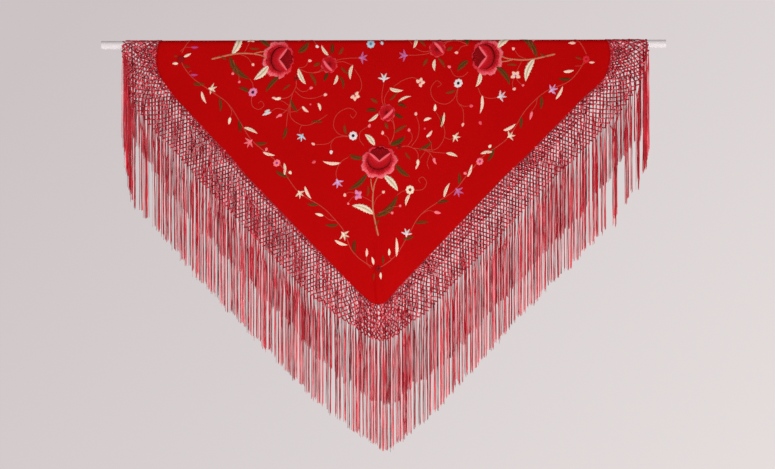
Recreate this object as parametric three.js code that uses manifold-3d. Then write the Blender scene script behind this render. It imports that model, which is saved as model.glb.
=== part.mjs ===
// A flamenco shawl: a square of thin crepe hung over a round pole, folded on a line that runs beside its
// diagonal, so that the front layer hangs lower than the back one. A knotted net is tied into the hem all
// round, and its last knots let go a long fringe.
// Millimetres. The origin is on the pole's axis at the middle of its length. +X runs along the pole,
// +Z is up, and the longer, front layer hangs on the -Y side.
import * as THREE from "three";
import { mergeVertices } from "three/addons/utils/BufferGeometryUtils.js";
import Module from "manifold-3d";

const wasm = await Module();
wasm.setup();

// Driving dimensions.
const SEAM_GAP = 0.3;
const POLE = { radius: 15, length: 2100, sides: 32 };
// drop and narrow: cloth hung by its bias grows longer and a little narrower than it was cut.
// halfPointFlat: half the width at which the cloth's point ends.
const CLOTH = {
  side: 1300,
  thick: 1.2,
  foldBesideDiagonal: 70,
  sideCornerRadius: 150,
  pointCornerRadius: 55,
  halfPointFlat: 3,
  drop: 1.026,
  narrow: 0.985,
};
const NET = { thick: 1.2, seamGap: 0.35 };
// uneven: how much longer or shorter single strands are, in two waves that run along the fringe.
const FRINGE = {
  longerAtPoint: 36,
  uneven: 6,
  quickWave: 2.4,
  slowWave: 0.7,
  strandWide: 5,
  strandThick: 2.2,
  stripDeep: 5,
};

// The two layers: side is +1 for the one towards -Y, and strands is how many hang on each half of it.
const FRONT = { name: "front", side: 1, strands: 62, strandLength: { left: 350, right: 368 } };
const BACK = { name: "back", side: -1, strands: 60, strandLength: { left: 344, right: 346 } };

// How the net leans as it hangs from the hem: the angle from straight down, outwards, and its depth.
const NET_LEAN_FROM_POLE = [
  { along: 0, lean: 90, depth: 131 },
  { along: 60, lean: 70, depth: 118 },
  { along: 130, lean: 50, depth: 125 },
  { along: 170, lean: 42, depth: 133 },
  { along: 240, lean: 31, depth: 141 },
];
const NET_LEAN_FROM_POINT = [
  { along: 0, lean: 0, depth: 134 },
  { along: 70, lean: 13, depth: 129 },
  { along: 150, lean: 27, depth: 137 },
  { along: 230, lean: 31, depth: 141 },
];

// The front layer drifts to the left as it goes down, because it was thrown over the pole by hand.
const FRONT_DRIFT = [
  { down: 0, aside: 0 },
  { down: 150, aside: -3 },
  { down: 240, aside: -15 },
  { down: 420, aside: -19 },
  { down: 530, aside: -29 },
  { down: 920, aside: -29 },
  { down: 1010, aside: -20 },
  { down: 1150, aside: -9 },
];

// Soft upright folds: where along the pole, how wide, how far they stand out, and where they begin and
// are full, measured down from the pole.
const FRONT_FOLDS = [
  { at: -700, wide: 130, out: 5, from: 60, full: 400 },
  { at: -455, wide: 150, out: 7, from: 120, full: 600 },
  { at: -210, wide: 120, out: 6, from: 200, full: 760 },
  { at: -82, wide: 70, out: 8, from: 520, full: 930 },
  { at: 38, wide: 62, out: 9, from: 480, full: 930 },
  { at: 215, wide: 140, out: 7, from: 160, full: 700 },
  { at: 480, wide: 120, out: 6, from: 100, full: 500 },
  { at: 705, wide: 90, out: 6, from: 40, full: 300 },
];
const BACK_FOLDS = [
  { at: -640, wide: 150, out: 6, from: 60, full: 350 },
  { at: -330, wide: 120, out: 8, from: 150, full: 560 },
  { at: -60, wide: 90, out: 9, from: 380, full: 780 },
  { at: 120, wide: 110, out: 6, from: 250, full: 700 },
  { at: 390, wide: 150, out: 8, from: 120, full: 520 },
  { at: 690, wide: 110, out: 5, from: 40, full: 300 },
];

// How finely each form is cut.
const STEPS = { sideCorner: 5, straight: 9, point: 4, across: 22, netDown: 3, roundPole: 16, alongPole: 6 };

// Worked out from the driving dimensions.
const halfDiagonal = CLOTH.side / Math.SQRT2;
const eighthTurn = Math.PI / 4;
const bedRadius = POLE.radius + SEAM_GAP + CLOTH.thick / 2;
const quarterWrap = (bedRadius * Math.PI) / 2;
const sideCornerCentre = halfDiagonal - CLOTH.sideCornerRadius * Math.SQRT2;
const pointCornerCentre = halfDiagonal - CLOTH.pointCornerRadius * Math.SQRT2;

const radians = THREE.MathUtils.degToRad;
const smooth = (t) => THREE.MathUtils.smoothstep(t, 0, 1);

// Reads a column of a table at a place between its rows.
function readTable(table, key, place, column) {
  const last = table.length - 1;
  if (place <= table[0][key]) return table[0][column];
  if (place >= table[last][key]) return table[last][column];
  const i = table.findIndex((row) => row[key] > place);
  const [a, b] = [table[i - 1], table[i]];
  const share = (place - a[key]) / (b[key] - a[key]);
  return THREE.MathUtils.lerp(a[column], b[column], smooth(share));
}

// How far the cloth stands off its flat hang at a place.
function foldDepth(layer, x, down) {
  const folds = layer === FRONT ? FRONT_FOLDS : BACK_FOLDS;
  let depth = 0;
  for (const f of folds) {
    const off = Math.abs(x - f.at) / f.wide;
    const grown = smooth((down - f.from) / (f.full - f.from));
    if (off < 1) depth += f.out * grown * smooth(1 - off);
  }
  return depth;
}

// Hangs a place of a layer over the pole. across is measured along the pole, down is the way over the
// cloth from the top of the pole, and out moves the point off the cloth's middle.
function hang(layer, across, down, out) {
  const reach = bedRadius + out;
  if (down <= quarterWrap) {
    const turn = down / bedRadius;
    return new THREE.Vector3(across, -layer.side * reach * Math.sin(turn), reach * Math.cos(turn));
  }
  const aside = layer === FRONT ? readTable(FRONT_DRIFT, "down", down, "aside") : 0;
  const depth = reach + foldDepth(layer, across, down);
  return new THREE.Vector3(across + aside, -layer.side * depth, quarterWrap - down);
}

// Half the width of the cut square at a distance from its diagonal, with its rounded corners.
function halfWidth(fromDiagonal) {
  const d = Math.abs(fromDiagonal);
  const r = CLOTH.sideCornerRadius;
  const tip = CLOTH.pointCornerRadius;
  if (d < r * Math.sin(eighthTurn)) return sideCornerCentre + Math.sqrt(r * r - d * d);
  if (d < pointCornerCentre + tip * Math.sin(eighthTurn)) return halfDiagonal - d;
  return Math.sqrt(Math.max(0, tip * tip - (d - pointCornerCentre) ** 2));
}

// The hem's sections on one layer, from the pole to the point: the distance from the diagonal, the turn of
// the hem's outward normal from level, half the cloth's width, and the ways down and along the hem.
function hemSections(layer) {
  const foldAt = -layer.side * CLOTH.foldBesideDiagonal;
  const start = foldAt + (quarterWrap + SEAM_GAP / 2) / CLOTH.drop;
  const cornerEnd = CLOTH.sideCornerRadius * Math.sin(eighthTurn);
  const tipStart = pointCornerCentre + CLOTH.pointCornerRadius * Math.sin(eighthTurn);
  const sections = [];
  const firstTurn = Math.asin(Math.min(start, cornerEnd) / CLOTH.sideCornerRadius);
  for (let i = 0; i < STEPS.sideCorner; i += 1) {
    const turn = THREE.MathUtils.lerp(firstTurn, eighthTurn, i / STEPS.sideCorner);
    sections.push({ fromDiagonal: CLOTH.sideCornerRadius * Math.sin(turn), turn });
  }
  const straightStart = Math.max(start, cornerEnd);
  for (let i = 0; i < STEPS.straight; i += 1) {
    const fromDiagonal = THREE.MathUtils.lerp(straightStart, tipStart, i / STEPS.straight);
    sections.push({ fromDiagonal, turn: eighthTurn });
  }
  const lastTurn = Math.acos(CLOTH.halfPointFlat / CLOTH.pointCornerRadius);
  for (let i = 0; i <= STEPS.point; i += 1) {
    const turn = THREE.MathUtils.lerp(eighthTurn, lastTurn, i / STEPS.point);
    sections.push({ fromDiagonal: pointCornerCentre + CLOTH.pointCornerRadius * Math.sin(turn), turn });
  }
  let along = 0;
  sections.forEach((s, i) => {
    s.across = CLOTH.narrow * halfWidth(s.fromDiagonal);
    s.down = CLOTH.drop * (s.fromDiagonal - foldAt);
    if (i > 0) along += Math.hypot(s.across - sections[i - 1].across, s.down - sections[i - 1].down);
    s.fromPole = along;
  });
  sections.forEach((s) => (s.fromPoint = along - s.fromPole));
  return sections;
}

// A line down the net from one section of the hem, on the right-hand half: its start, way and depth.
function netLine(section) {
  const nearPoint = section.fromPoint < NET_LEAN_FROM_POINT[NET_LEAN_FROM_POINT.length - 1].along;
  const table = nearPoint ? NET_LEAN_FROM_POINT : NET_LEAN_FROM_POLE;
  const along = nearPoint ? section.fromPoint : section.fromPole;
  const lean = radians(readTable(table, "along", along, "lean"));
  const start = {
    across: section.across + NET.seamGap * Math.cos(section.turn),
    down: section.down + NET.seamGap * Math.max(0, Math.sin(section.turn)),
  };
  const way = { across: Math.sin(lean), down: Math.cos(lean) };
  return { start, way, depth: readTable(table, "along", along, "depth") };
}

// The net's lines along one half of a layer, ending with one just beside the middle of the point.
function netLines(layer) {
  const lines = hemSections(layer).map(netLine);
  const last = lines[lines.length - 1];
  const middle = {
    start: { across: SEAM_GAP / 2, down: last.start.down },
    way: { across: 0, down: 1 },
    depth: NET_LEAN_FROM_POINT[0].depth,
  };
  return [...lines, middle];
}

// A closed wall through rows of points: each point gives its inner and outer place.
function wall(rows) {
  const high = rows.length;
  const wide = rows[0].length;
  const points = [];
  rows.forEach((row) => row.forEach((p) => points.push(p.inner, p.outer)));
  const at = (i, j, face) => 2 * (i * wide + j) + face;
  const index = [];
  const quad = (a, b, c, d) => index.push(a, b, c, a, c, d);
  for (let i = 0; i + 1 < high; i += 1) {
    for (let j = 0; j + 1 < wide; j += 1) {
      quad(at(i, j, 0), at(i + 1, j, 0), at(i + 1, j + 1, 0), at(i, j + 1, 0));
      quad(at(i, j, 1), at(i, j + 1, 1), at(i + 1, j + 1, 1), at(i + 1, j, 1));
    }
    quad(at(i, 0, 0), at(i, 0, 1), at(i + 1, 0, 1), at(i + 1, 0, 0));
    quad(at(i, wide - 1, 0), at(i + 1, wide - 1, 0), at(i + 1, wide - 1, 1), at(i, wide - 1, 1));
  }
  for (let j = 0; j + 1 < wide; j += 1) {
    quad(at(0, j, 0), at(0, j + 1, 0), at(0, j + 1, 1), at(0, j, 1));
    quad(at(high - 1, j, 0), at(high - 1, j, 1), at(high - 1, j + 1, 1), at(high - 1, j + 1, 0));
  }
  const geometry = new THREE.BufferGeometry().setFromPoints(points);
  geometry.setIndex(index);
  return facingOut(geometry);
}

// Turns every face round if the closed mesh is inside out.
function facingOut(geometry) {
  const p = geometry.getAttribute("position");
  const index = geometry.index.array;
  const [a, b, c] = [new THREE.Vector3(), new THREE.Vector3(), new THREE.Vector3()];
  let volume = 0;
  for (let i = 0; i < index.length; i += 3) {
    a.fromBufferAttribute(p, index[i]);
    b.fromBufferAttribute(p, index[i + 1]);
    c.fromBufferAttribute(p, index[i + 2]);
    volume += a.dot(b.cross(c));
  }
  if (volume < 0) {
    for (let i = 0; i < index.length; i += 3) {
      [index[i + 1], index[i + 2]] = [index[i + 2], index[i + 1]];
    }
  }
  return geometry;
}

// A point of a wall: the same place on the inner and the outer face.
function wallPoint(layer, across, down, thick) {
  return {
    inner: hang(layer, across, down, -thick / 2),
    outer: hang(layer, across, down, thick / 2),
  };
}

function solidOf(geometry) {
  const bare = new THREE.BufferGeometry().setAttribute("position", geometry.getAttribute("position"));
  bare.setIndex(geometry.index);
  const merged = mergeVertices(bare, 1e-4);
  return new wasm.Manifold(
    new wasm.Mesh({
      numProp: 3,
      vertProperties: merged.getAttribute("position").array,
      triVerts: new Uint32Array(merged.index.array),
    }),
  );
}

function geometryOf(solid) {
  const mesh = solid.getMesh();
  const position = new Float32Array(mesh.numVert * 3);
  for (let i = 0; i < mesh.numVert; i += 1) {
    position.set(mesh.vertProperties.subarray(i * mesh.numProp, i * mesh.numProp + 3), i * 3);
  }
  const geometry = new THREE.BufferGeometry();
  geometry.setAttribute("position", new THREE.BufferAttribute(position, 3));
  geometry.setIndex(new THREE.BufferAttribute(mesh.triVerts, 1));
  return geometry;
}

const shawl = new THREE.Group();
shawl.name = "shawl_on_pole";

function addPiece(name, geometry, material) {
  geometry.computeVertexNormals();
  const mesh = new THREE.Mesh(geometry, material);
  mesh.name = name;
  shawl.add(mesh);
  return mesh;
}

const crepeRed = new THREE.MeshStandardMaterial({ color: 0xb80808, roughness: 0.75, metalness: 0 });
const netRed = new THREE.MeshStandardMaterial({ color: 0x7a1018, roughness: 0.6, metalness: 0 });
const fringeRed = new THREE.MeshStandardMaterial({ color: 0xa82430, roughness: 0.55, metalness: 0 });
const poleWhite = new THREE.MeshStandardMaterial({ color: 0xe6dede, roughness: 0.35, metalness: 0 });

// The pole: a plain painted rod, cut square at both ends.
function makePole() {
  const rod = new THREE.CylinderGeometry(POLE.radius, POLE.radius, POLE.length, POLE.sides);
  rod.rotateZ(Math.PI / 2);
  addPiece("pole", rod, poleWhite);
}

// One hanging stretch of the cloth: rows run from hem to hem, from the pole down to the point.
function makeClothStretch(layer) {
  const rows = hemSections(layer).map((section) => {
    const row = [];
    for (let j = 0; j <= STEPS.across; j += 1) {
      const across = THREE.MathUtils.lerp(-section.across, section.across, j / STEPS.across);
      row.push(wallPoint(layer, across, section.down, CLOTH.thick));
    }
    return row;
  });
  addPiece(`cloth_${layer.name}`, wall(rows), crepeRed);
}

// Rows round the pole from the back to the front, each between two distances along the pole.
function wrapRows(reachOf, thick, steps) {
  const end = quarterWrap - SEAM_GAP / 2;
  const rows = [];
  for (let i = 0; i <= STEPS.roundPole; i += 1) {
    const down = THREE.MathUtils.lerp(-end, end, i / STEPS.roundPole);
    const layer = down < 0 ? BACK : FRONT;
    const [from, to] = reachOf(CLOTH.narrow * halfWidth(down / CLOTH.drop - CLOTH.foldBesideDiagonal));
    const row = [];
    for (let j = 0; j <= steps; j += 1) {
      row.push(wallPoint(layer, THREE.MathUtils.lerp(from, to, j / steps), Math.abs(down), thick));
    }
    rows.push(row);
  }
  return rows;
}

// The stretch of cloth that lies over the pole.
function makeClothOverPole() {
  const rows = wrapRows((hem) => [-hem, hem], CLOTH.thick, STEPS.alongPole);
  addPiece("cloth_over_pole", wall(rows), crepeRed);
}

// The net that lies along the pole past each side corner.
function makeNetOverPole(sideName, hand) {
  const depth = NET_LEAN_FROM_POLE[0].depth;
  const reachOf = (hem) => [hand * (hem + NET.seamGap), hand * (hem + depth)];
  addPiece(`net_over_pole_${sideName}`, wall(wrapRows(reachOf, NET.thick, 2)), netRed);
}

// One hanging stretch of the net, from the pole to the point, on one side of it.
function makeNetStretch(layer, sideName, hand) {
  const rows = netLines(layer).map(({ start, way, depth }) => {
    const row = [];
    for (let j = 0; j <= STEPS.netDown; j += 1) {
      const t = (depth * j) / STEPS.netDown;
      const across = hand * (start.across + t * way.across);
      row.push(wallPoint(layer, across, start.down + t * way.down, NET.thick));
    }
    return row;
  });
  addPiece(`net_${layer.name}_${sideName}`, wall(rows), netRed);
}

// The narrow strip of last knots along the net's lower edge, parted from it by a seam's gap.
function stripLine(layer, hand, beyondNet) {
  return netLines(layer).map(({ start, way, depth }) => {
    const t = depth + beyondNet;
    return { across: hand * (start.across + t * way.across), down: start.down + t * way.down };
  });
}

// Where a strand that hangs at a distance along the pole leaves the middle of the strip.
function rootAt(middle, x, hand) {
  for (let i = middle.length - 2; i >= 0; i -= 1) {
    const [a, b] = [middle[i], middle[i + 1]];
    const [near, far] = [hand * b.x, hand * a.x];
    if (far >= hand * x && hand * x >= near) {
      return a.clone().lerp(b, (a.x - x) / (a.x - b.x));
    }
  }
  return middle[0].clone();
}

// One stretch of fringe: straight four-sided locks, fused at their roots into the strip.
function makeFringeStretch(layer, sideName, hand) {
  const upper = stripLine(layer, hand, NET.seamGap);
  const lower = stripLine(layer, hand, NET.seamGap + FRINGE.stripDeep);
  const strip = wall(
    upper.map((u, i) => [
      wallPoint(layer, u.across, u.down, NET.thick),
      wallPoint(layer, lower[i].across, lower[i].down, NET.thick),
    ]),
  );
  const centre = stripLine(layer, hand, NET.seamGap + FRINGE.stripDeep / 2);
  const middle = centre.map((c) => hang(layer, c.across, c.down, 0));
  const widest = Math.max(...middle.map((m) => hand * m.x));
  const nearest = hand * middle[middle.length - 1].x + FRINGE.strandWide / 2 + SEAM_GAP;
  const solids = [solidOf(strip)];
  for (let i = 0; i < layer.strands; i += 1) {
    const share = i / (layer.strands - 1);
    const x = hand * THREE.MathUtils.lerp(widest, nearest, share);
    const root = rootAt(middle, x, hand);
    const wave = Math.sin(i * FRINGE.quickWave) + Math.sin(i * FRINGE.slowWave);
    const length = layer.strandLength[sideName] + FRINGE.longerAtPoint * share + FRINGE.uneven * wave;
    const strand = new THREE.BoxGeometry(FRINGE.strandWide, FRINGE.strandThick, length);
    const thicker = (FRINGE.strandThick - NET.thick) / 2;
    strand.translate(x, root.y - layer.side * thicker, root.z - length / 2);
    solids.push(solidOf(strand));
  }
  const whole = solids.reduce((sum, solid) => sum.add(solid));
  addPiece(`fringe_${layer.name}_${sideName}`, geometryOf(whole), fringeRed);
}

makePole();
makeClothOverPole();
makeNetOverPole("left", -1);
makeNetOverPole("right", 1);
for (const layer of [FRONT, BACK]) {
  makeClothStretch(layer);
  for (const [sideName, hand] of [["left", -1], ["right", 1]]) {
    makeNetStretch(layer, sideName, hand);
    makeFringeStretch(layer, sideName, hand);
  }
}

export default shawl;
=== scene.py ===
import math

import bpy
import numpy as np
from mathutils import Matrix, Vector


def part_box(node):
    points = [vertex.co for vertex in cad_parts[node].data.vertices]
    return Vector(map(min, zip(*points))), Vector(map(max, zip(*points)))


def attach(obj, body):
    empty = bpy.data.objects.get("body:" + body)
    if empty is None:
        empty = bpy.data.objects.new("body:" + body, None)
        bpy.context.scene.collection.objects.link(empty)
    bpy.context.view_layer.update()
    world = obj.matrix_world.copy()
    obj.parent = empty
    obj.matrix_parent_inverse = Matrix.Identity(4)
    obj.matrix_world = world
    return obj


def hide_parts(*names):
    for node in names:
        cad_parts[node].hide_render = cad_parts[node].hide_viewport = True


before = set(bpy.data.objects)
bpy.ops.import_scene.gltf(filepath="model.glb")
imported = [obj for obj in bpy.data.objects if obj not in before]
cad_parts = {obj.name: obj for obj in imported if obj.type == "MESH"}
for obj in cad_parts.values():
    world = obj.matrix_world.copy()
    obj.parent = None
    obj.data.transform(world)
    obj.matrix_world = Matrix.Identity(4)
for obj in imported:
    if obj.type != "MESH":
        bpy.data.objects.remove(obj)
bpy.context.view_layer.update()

# The pole: a straight round rod, sanded, sprayed with white satin paint and cut square at both ends.
# The shawl hangs over it by its own weight, and nothing is fixed to it.
PAINT_WHITE = (0.80, 0.765, 0.775, 1)
PAINT_DUSTY = (0.77, 0.735, 0.742, 1)
RIM_BEVEL = 0.0012
pole_low, pole_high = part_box("pole")
pole_radius = (pole_high.z - pole_low.z) / 2

bpy.ops.object.select_all(action="DESELECT")
bpy.ops.mesh.primitive_cylinder_add(
    vertices=96, radius=pole_radius, depth=pole_high.x - pole_low.x, rotation=(0, math.pi / 2, 0)
)
pole = bpy.context.object
pole.name = "painted_pole"
bpy.ops.object.transform_apply(location=False, rotation=True, scale=False)


def select_edges(piece, wanted):
    """Leaves piece in edit mode with only the wanted edges selected, told by their two ends."""
    bpy.ops.object.mode_set(mode="EDIT")
    bpy.ops.mesh.select_mode(type="EDGE")
    bpy.ops.mesh.select_all(action="DESELECT")
    bpy.ops.object.mode_set(mode="OBJECT")
    corners = piece.data.vertices
    for edge in piece.data.edges:
        a, b = (corners[i].co for i in edge.vertices)
        edge.select = wanted(a, b)
    bpy.ops.object.mode_set(mode="EDIT")


select_edges(pole, lambda a, b: abs(a.x - b.x) < 1e-5)
bpy.ops.mesh.bevel(offset=RIM_BEVEL, segments=3)
bpy.ops.object.mode_set(mode="OBJECT")
bpy.ops.object.shade_smooth_by_angle(angle=math.radians(40))


def new_material(name, colour, roughness):
    """A node material, its nodes, its links and its main shader."""
    material = bpy.data.materials.new(name)
    material.use_nodes = True
    nodes, links = material.node_tree.nodes, material.node_tree.links
    shader = nodes["Principled BSDF"]
    shader.inputs["Base Color"].default_value = colour
    shader.inputs["Roughness"].default_value = roughness
    return material, nodes, links, shader


def add_noise(nodes, links, place, scale, detail=2.0):
    noise = nodes.new("ShaderNodeTexNoise")
    noise.inputs["Scale"].default_value = scale
    noise.inputs["Detail"].default_value = detail
    links.new(place, noise.inputs["Vector"])
    return noise.outputs["Fac"]


def add_ramp(nodes, links, value, stops):
    """A colour ramp from (place, colour) stops."""
    ramp = nodes.new("ShaderNodeValToRGB")
    while len(ramp.color_ramp.elements) < len(stops):
        ramp.color_ramp.elements.new(0.5)
    for element, (place, colour) in zip(ramp.color_ramp.elements, stops):
        element.position = place
        element.color = colour
    links.new(value, ramp.inputs["Fac"])
    return ramp.outputs["Color"]


def add_bump(nodes, links, height, distance, strength=1.0, over=None):
    bump = nodes.new("ShaderNodeBump")
    bump.inputs["Strength"].default_value = strength
    bump.inputs["Distance"].default_value = distance
    links.new(height, bump.inputs["Height"])
    if over is not None:
        links.new(over, bump.inputs["Normal"])
    return bump.outputs["Normal"]


white_paint, nodes, links, shader = new_material("white_paint", PAINT_WHITE, 0.34)
place = nodes.new("ShaderNodeTexCoord").outputs["Object"]
dust = add_noise(nodes, links, place, 9.0, 4.0)
links.new(add_ramp(nodes, links, dust, [(0.3, PAINT_DUSTY), (0.7, PAINT_WHITE)]), shader.inputs["Base Color"])
spray = add_noise(nodes, links, place, 900.0)
links.new(add_bump(nodes, links, spray, 0.00015, 0.35), shader.inputs["Normal"])
pole.data.materials.append(white_paint)
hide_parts("pole")
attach(pole, "root")

# The cloth: one square of thin silk-like crepe, cut with round corners and folded over the pole beside its
# diagonal, so that the front layer hangs lower. It keeps soft upright folds, and hangs as one sheet.
MM = 0.001

# Sizes are in millimetres: across is along the pole, way is over the cloth from the top of the pole, above
# nought on the front layer and below nought on the back one. The hung cloth is DROP times longer and NARROW
# times narrower than it was cut, because it hangs on its bias.
CUT_SIDE = 1300
FOLD_BESIDE_DIAGONAL = 70
SIDE_CORNER = 150
POINT_CORNER = 55
DROP = 1.026
NARROW = 0.985
CREPE_THICK = 0.8
BED = pole_radius / MM + 0.9
QUARTER_WRAP = BED * math.pi / 2
HALF_DIAGONAL = CUT_SIDE / math.sqrt(2)
EIGHTH = math.pi / 4
POINT_END = HALF_DIAGONAL - POINT_CORNER * (math.sqrt(2) - 1)

# How far the front layer has drifted to the left, by the way down from the pole.
FRONT_DRIFT = [(0, 0), (150, -3), (240, -15), (420, -19), (530, -29), (920, -29), (1010, -20), (1150, -9)]
# The soft folds: place along the pole, width, height, and the ways down where they begin and are full.
FRONT_FOLDS = [
    (-700, 130, 5, 60, 400),
    (-455, 150, 7, 120, 600),
    (-210, 120, 6, 200, 760),
    (-82, 70, 8, 520, 930),
    (38, 62, 9, 480, 930),
    (215, 140, 7, 160, 700),
    (480, 120, 6, 100, 500),
    (705, 90, 6, 40, 300),
]
BACK_FOLDS = [
    (-640, 150, 6, 60, 350),
    (-330, 120, 8, 150, 560),
    (-60, 90, 9, 380, 780),
    (120, 110, 6, 250, 700),
    (390, 150, 8, 120, 520),
    (690, 110, 5, 40, 300),
]
# Creases and slack places in the layers: the two ends of each, as across and down, its width and height.
FRONT_CREASES = [
    ((0, 780), (4, 1010), 15, 3.6),
    ((-14, 700), (-8, 960), 22, 1.1),
    ((-330, 60), (-250, 330), 46, 1.3),
    ((-560, 70), (-430, 300), 40, 1.2),
    ((300, 80), (220, 420), 50, 1.4),
    ((560, 60), (470, 280), 44, 1.2),
    ((-120, 120), (-160, 480), 55, 1.2),
    ((110, 240), (70, 620), 48, 1.1),
    ((-740, 60), (-660, 190), 30, 1.4),
    ((760, 50), (690, 170), 30, 1.4),
    ((-300, 420), (-240, 640), 30, 1.0),
    ((330, 380), (250, 600), 32, 1.1),
]
BACK_CREASES = [
    ((-4, 640), (0, 850), 18, 1.5),
    ((-300, 60), (-230, 330), 46, 1.4),
    ((280, 70), (230, 380), 50, 1.3),
    ((-600, 60), (-500, 260), 40, 1.3),
    ((600, 50), (510, 250), 40, 1.2),
    ((90, 180), (60, 520), 50, 1.2),
    ((-130, 260), (-100, 600), 36, 1.1),
]


def smooth(share):
    share = np.clip(share, 0, 1)
    return share * share * (3 - 2 * share)


def read_table(table, place):
    """The value of a (place, value) table at a place, turning softly at its rows."""
    places, values = np.array(table, float).T
    i = np.clip(np.searchsorted(places, place, side="right") - 1, 0, len(places) - 2)
    share = (place - places[i]) / (places[i + 1] - places[i])
    return values[i] + (values[i + 1] - values[i]) * smooth(share)


def stand_off(across, down, folds, creases):
    """How far a layer stands off its flat hang."""
    off = np.zeros(np.broadcast(across, down).shape)
    for at, wide, high, begins, full in folds:
        grown = smooth((down - begins) / (full - begins))
        off += high * grown * smooth(1 - np.abs(across - at) / wide)
    for (x0, d0), (x1, d1), wide, high in creases:
        along = np.clip((down - d0) / (d1 - d0), 0, 1)
        beside = np.abs(across - (x0 + (x1 - x0) * along)) / wide
        ends = smooth((down - d0 + 60) / 120) * smooth((d1 + 60 - down) / 120)
        off += high * ends * smooth(1 - beside)
    return off


def hang(across, way, out=0.0):
    """Points in metres for places on the cloth, out millimetres off its middle."""
    across, way, out = np.broadcast_arrays(*(np.asarray(v, float) for v in (across, way, out)))
    down, front = np.abs(way), way > 0
    reach = BED + out
    turn = np.minimum(down, QUARTER_WRAP) / BED
    off = np.where(
        front,
        stand_off(across, down, FRONT_FOLDS, FRONT_CREASES),
        stand_off(across, down, BACK_FOLDS, BACK_CREASES),
    )
    hung = down > QUARTER_WRAP
    x = across + np.where(front, read_table(FRONT_DRIFT, down), 0)
    y = reach * np.sin(turn) + np.where(hung, off, 0)
    z = np.where(hung, QUARTER_WRAP - down, reach * np.cos(turn))
    return np.stack([x, np.where(front, -y, y), z], axis=-1) * MM


def half_width(from_diagonal):
    """Half the width of the cut square, with its round corners, at a distance from its diagonal."""
    d = np.abs(from_diagonal)
    side_centre = HALF_DIAGONAL - SIDE_CORNER * math.sqrt(2)
    point_centre = HALF_DIAGONAL - POINT_CORNER * math.sqrt(2)
    side = side_centre + np.sqrt(np.maximum(SIDE_CORNER**2 - d**2, 0))
    point = np.sqrt(np.maximum(POINT_CORNER**2 - (d - point_centre) ** 2, 0))
    straight_from = SIDE_CORNER * math.sin(EIGHTH)
    straight_to = point_centre + POINT_CORNER * math.sin(EIGHTH)
    return np.where(d < straight_from, side, np.where(d < straight_to, HALF_DIAGONAL - d, point))


def add_piece(name, points, quads, triangles=None, uv=None, tint=None):
    """A piece from points in metres, four-cornered and three-cornered faces, and a map and tint per point."""
    quads = np.asarray(quads, np.int32).reshape(-1, 4)
    triangles = np.asarray([] if triangles is None else triangles, np.int32).reshape(-1, 3)
    loops = np.concatenate([quads.ravel(), triangles.ravel()])
    starts = np.concatenate([np.arange(len(quads)) * 4, len(quads) * 4 + np.arange(len(triangles)) * 3])
    mesh = bpy.data.meshes.new(name)
    mesh.vertices.add(len(points))
    mesh.vertices.foreach_set("co", np.asarray(points, np.float32).ravel())
    mesh.loops.add(len(loops))
    mesh.loops.foreach_set("vertex_index", loops)
    mesh.polygons.add(len(starts))
    mesh.polygons.foreach_set("loop_start", starts.astype(np.int32))
    mesh.update(calc_edges=True)
    if uv is not None:
        layer = mesh.uv_layers.new(name="UVMap")
        layer.data.foreach_set("uv", np.asarray(uv, np.float32)[loops].ravel())
    if tint is not None:
        colours = mesh.color_attributes.new(name="Thread", type="FLOAT_COLOR", domain="POINT")
        colours.data.foreach_set("color", np.asarray(tint, np.float32).ravel())
    mesh.shade_smooth()
    piece = bpy.data.objects.new(name, mesh)
    bpy.context.collection.objects.link(piece)
    return piece


def face_outwards(piece):
    """Turns the faces of a piece outwards, and leaves it selected."""
    bpy.ops.object.select_all(action="DESELECT")
    bpy.context.view_layer.objects.active = piece
    piece.select_set(True)
    bpy.ops.object.mode_set(mode="EDIT")
    bpy.ops.mesh.select_all(action="SELECT")
    bpy.ops.mesh.normals_make_consistent(inside=False)
    bpy.ops.object.mode_set(mode="OBJECT")


def grid_faces(high, wide):
    """The four-cornered faces of a grid of points that is numbered row by row."""
    i, j = np.meshgrid(np.arange(high - 1), np.arange(wide - 1), indexing="ij")
    a = (i * wide + j).ravel()
    return np.stack([a, a + 1, a + wide + 1, a + wide], axis=1)


front_end = DROP * (POINT_END + FOLD_BESIDE_DIAGONAL)
back_end = -DROP * (POINT_END - FOLD_BESIDE_DIAGONAL)
tip_long = 45
hem_in = 0.5
tip_rows, layer_rows, wrap_rows, cloth_columns = 16, 84, 22, 130
ways = np.concatenate(
    [
        np.linspace(back_end + hem_in, back_end + tip_long, tip_rows, endpoint=False),
        np.linspace(back_end + tip_long, -2 * QUARTER_WRAP, layer_rows, endpoint=False),
        np.linspace(-2 * QUARTER_WRAP, 2 * QUARTER_WRAP, wrap_rows, endpoint=False),
        np.linspace(2 * QUARTER_WRAP, front_end - tip_long, layer_rows, endpoint=False),
        np.linspace(front_end - tip_long, front_end - hem_in, tip_rows),
    ]
)
halves = NARROW * half_width(ways / DROP - FOLD_BESIDE_DIAGONAL)
shares = np.linspace(-1, 1, cloth_columns + 1)
cloth_across = halves[:, None] * shares[None, :]
cloth_ways = np.repeat(ways[:, None], cloth_columns + 1, axis=1)
cloth = add_piece(
    "crepe_square",
    hang(cloth_across, cloth_ways).reshape(-1, 3),
    grid_faces(len(ways), cloth_columns + 1),
    uv=np.stack([cloth_across, cloth_ways], axis=-1).reshape(-1, 2) * MM,
)
face_outwards(cloth)
wall = cloth.modifiers.new("wall", "SOLIDIFY")
wall.thickness = CREPE_THICK * MM
wall.offset = 0
bpy.ops.object.modifier_apply(modifier="wall")

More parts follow.
